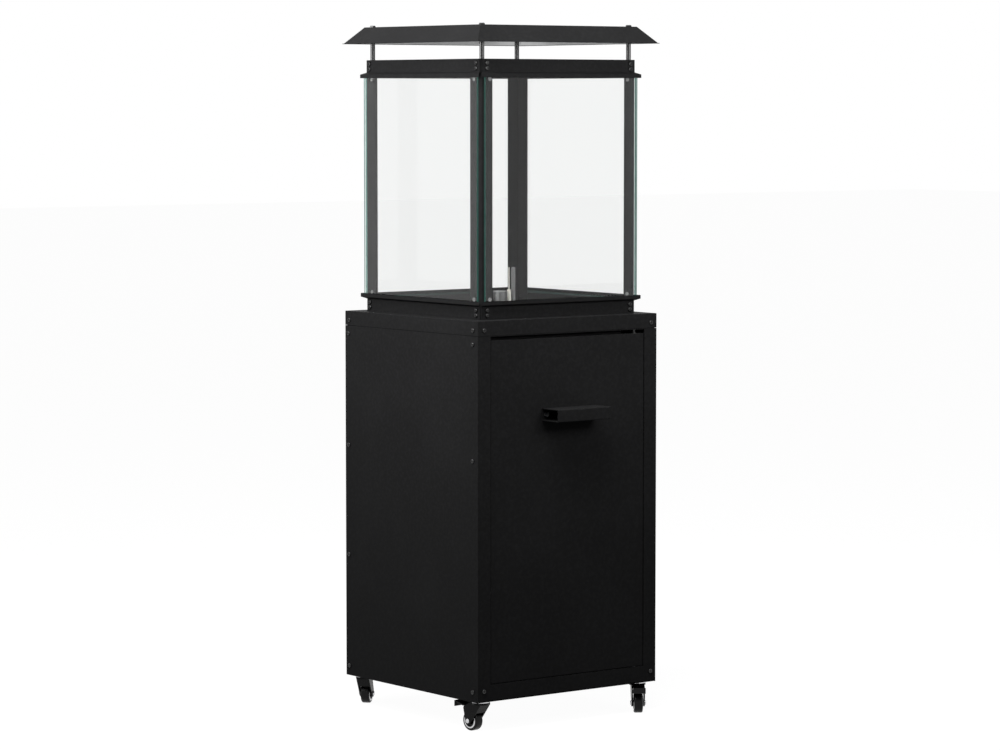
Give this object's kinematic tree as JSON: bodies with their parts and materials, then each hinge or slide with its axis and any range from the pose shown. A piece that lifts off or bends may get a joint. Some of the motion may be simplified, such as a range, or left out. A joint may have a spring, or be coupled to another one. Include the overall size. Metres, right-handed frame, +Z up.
{
  "type": "patio heater",
  "caption": "Wheeled gas patio heater: steel cabinet with a hinged door, a square glass lantern round the burner, and a flat-topped roof with a reflector on rods.",
  "frame": {"origin": "on the floor under the middle of the cabinet", "axes": "+Z up, +X to the right seen from the front, door towards -Y"},
  "size_m": [0.456, 0.5149, 1.3876],
  "materials": {
    "black_powder_coat": "fine-texture black powder coat",
    "screw_steel": "zinc-plated steel",
    "black_steel": "blackened steel",
    "clear_glass": "clear tempered glass",
    "pad_silicone": "grey silicone",
    "nylon": "natural nylon",
    "magnet_housing": "black moulded",
    "brass": "machined brass",
    "burner_steel": "heat-toned steel",
    "ceramic": null,
    "knob_plastic": "black moulded",
    "button_plastic": "red moulded",
    "aluminium": "bright rolled",
    "caster_steel": "zinc-plated steel",
    "caster_tread": "black moulded rubber",
    "pedal_plastic": "black moulded"
  },
  "bodies": {
    "cabinet": {"base_plate": "black_powder_coat", "left_side_panel": "black_powder_coat", "right_side_panel": "black_powder_coat", "back_panel": "black_powder_coat", "front_frame": "black_powder_coat", "top_lid": "black_powder_coat", "post_front_left": "black_powder_coat", "post_front_right": "black_powder_coat", "post_back_left": "black_powder_coat", "post_back_right": "black_powder_coat", "lantern_rails": "black_powder_coat", "lantern_floor": "black_powder_coat", "control_bracket": "black_powder_coat", "roof_cap": "black_powder_coat", "hinge_pins": "screw_steel", "roof_bolts": "screw_steel", "cabinet_screws": "black_steel", "lantern_screws": "black_steel", "roof_rods": "black_steel", "roof_cap_nuts": "black_steel", "glass_left": "clear_glass", "glass_right": "clear_glass", "glass_front": "clear_glass", "glass_back": "clear_glass", "glass_pads": "pad_silicone", "catch_magnet": "magnet_housing", "gas_injector": "brass", "gas_valve": "brass", "feed_pipe": "brass", "gas_inlet": "brass", "burner_tube": "burner_steel", "burner_cap": "burner_steel", "pilot_bracket": "burner_steel", "thermocouple": "burner_steel", "igniter_electrode": "ceramic", "igniter_body": "knob_plastic", "roof_reflector": "aluminium", "caster_stems": "caster_steel"},
    "door": {"door_panel": "black_powder_coat", "door_handle": "black_powder_coat", "handle_bolts": "screw_steel", "hinge_bushes": "nylon", "catch_strike": "screw_steel"},
    "valve_stem": {"valve_stem": "brass"},
    "knob": {"control_knob": "knob_plastic"},
    "button": {"igniter_button": "button_plastic"},
    "caster_front_left": {"caster_fork_front_left": "black_steel", "caster_axle_front_left": "caster_steel"},
    "wheel_front_left": {"caster_wheel_front_left": "caster_tread"},
    "pedal_front_left": {"brake_pedal_front_left": "pedal_plastic"},
    "caster_front_right": {"caster_fork_front_right": "black_steel", "caster_axle_front_right": "caster_steel"},
    "wheel_front_right": {"caster_wheel_front_right": "caster_tread"},
    "pedal_front_right": {"brake_pedal_front_right": "pedal_plastic"},
    "caster_back_left": {"caster_fork_back_left": "black_steel", "caster_axle_back_left": "caster_steel"},
    "wheel_back_left": {"caster_wheel_back_left": "caster_tread"},
    "caster_back_right": {"caster_fork_back_right": "black_steel", "caster_axle_back_right": "caster_steel"},
    "wheel_back_right": {"caster_wheel_back_right": "caster_tread"}
  },
  "joints": [
    {"name": "door_hinge", "type": "hinge", "parent": "cabinet", "child": "door", "pos_m": [0.17225, -0.217, 0.4], "axis": [0, 0, 1], "range_deg": [0, 110]},
    {"name": "knob_push", "type": "slide", "parent": "cabinet", "child": "valve_stem", "axis": [0, 1, 0], "range_m": [0, 0.0025], "stiffness_N_per_m": 600, "springref_m": -0.003},
    {"name": "knob_turn", "type": "hinge", "parent": "valve_stem", "child": "knob", "pos_m": [0, -0.151, 0.74], "axis": [0, -1, 0], "range_deg": [0, 180]},
    {"name": "igniter_press", "type": "slide", "parent": "cabinet", "child": "button", "axis": [0, 1, 0], "range_m": [0, 0.005], "stiffness_N_per_m": 500, "springref_m": -0.002},
    {"name": "swivel_front_left", "type": "hinge", "parent": "cabinet", "child": "caster_front_left", "pos_m": [-0.199, -0.199, 0.055], "axis": [0, 0, 1], "continuous": true},
    {"name": "roll_front_left", "type": "hinge", "parent": "caster_front_left", "child": "wheel_front_left", "pos_m": [-0.20168, -0.17716, 0.02], "axis": [-0.9925, -0.1219, 0], "continuous": true},
    {"name": "brake_front_left", "type": "hinge", "parent": "caster_front_left", "child": "pedal_front_left", "pos_m": [-0.20278, -0.16823, 0.045], "axis": [-0.9925, -0.1219, 0], "range_deg": [0, 12]},
    {"name": "swivel_front_right", "type": "hinge", "parent": "cabinet", "child": "caster_front_right", "pos_m": [0.199, -0.199, 0.055], "axis": [0, 0, 1], "continuous": true},
    {"name": "roll_front_right", "type": "hinge", "parent": "caster_front_right", "child": "wheel_front_right", "pos_m": [0.18638, -0.21702, 0.02], "axis": [0.8192, -0.5736, 0], "continuous": true},
    {"name": "brake_front_right", "type": "hinge", "parent": "caster_front_right", "child": "pedal_front_right", "pos_m": [0.18122, -0.22439, 0.045], "axis": [0.8192, -0.5736, 0], "range_deg": [0, 12]},
    {"name": "swivel_back_left", "type": "hinge", "parent": "cabinet", "child": "caster_back_left", "pos_m": [-0.199, 0.199, 0.055], "axis": [0, 0, 1], "continuous": true},
    {"name": "roll_back_left", "type": "hinge", "parent": "caster_back_left", "child": "wheel_back_left", "pos_m": [-0.1824, 0.21343, 0.02], "axis": [-0.6561, 0.7547, 0], "continuous": true},
    {"name": "swivel_back_right", "type": "hinge", "parent": "cabinet", "child": "caster_back_right", "pos_m": [0.199, 0.199, 0.055], "axis": [0, 0, 1], "continuous": true},
    {"name": "roll_back_right", "type": "hinge", "parent": "caster_back_right", "child": "wheel_back_right", "pos_m": [0.21, 0.21805, 0.02], "axis": [-0.866, 0.5, 0], "continuous": true}
  ]
}
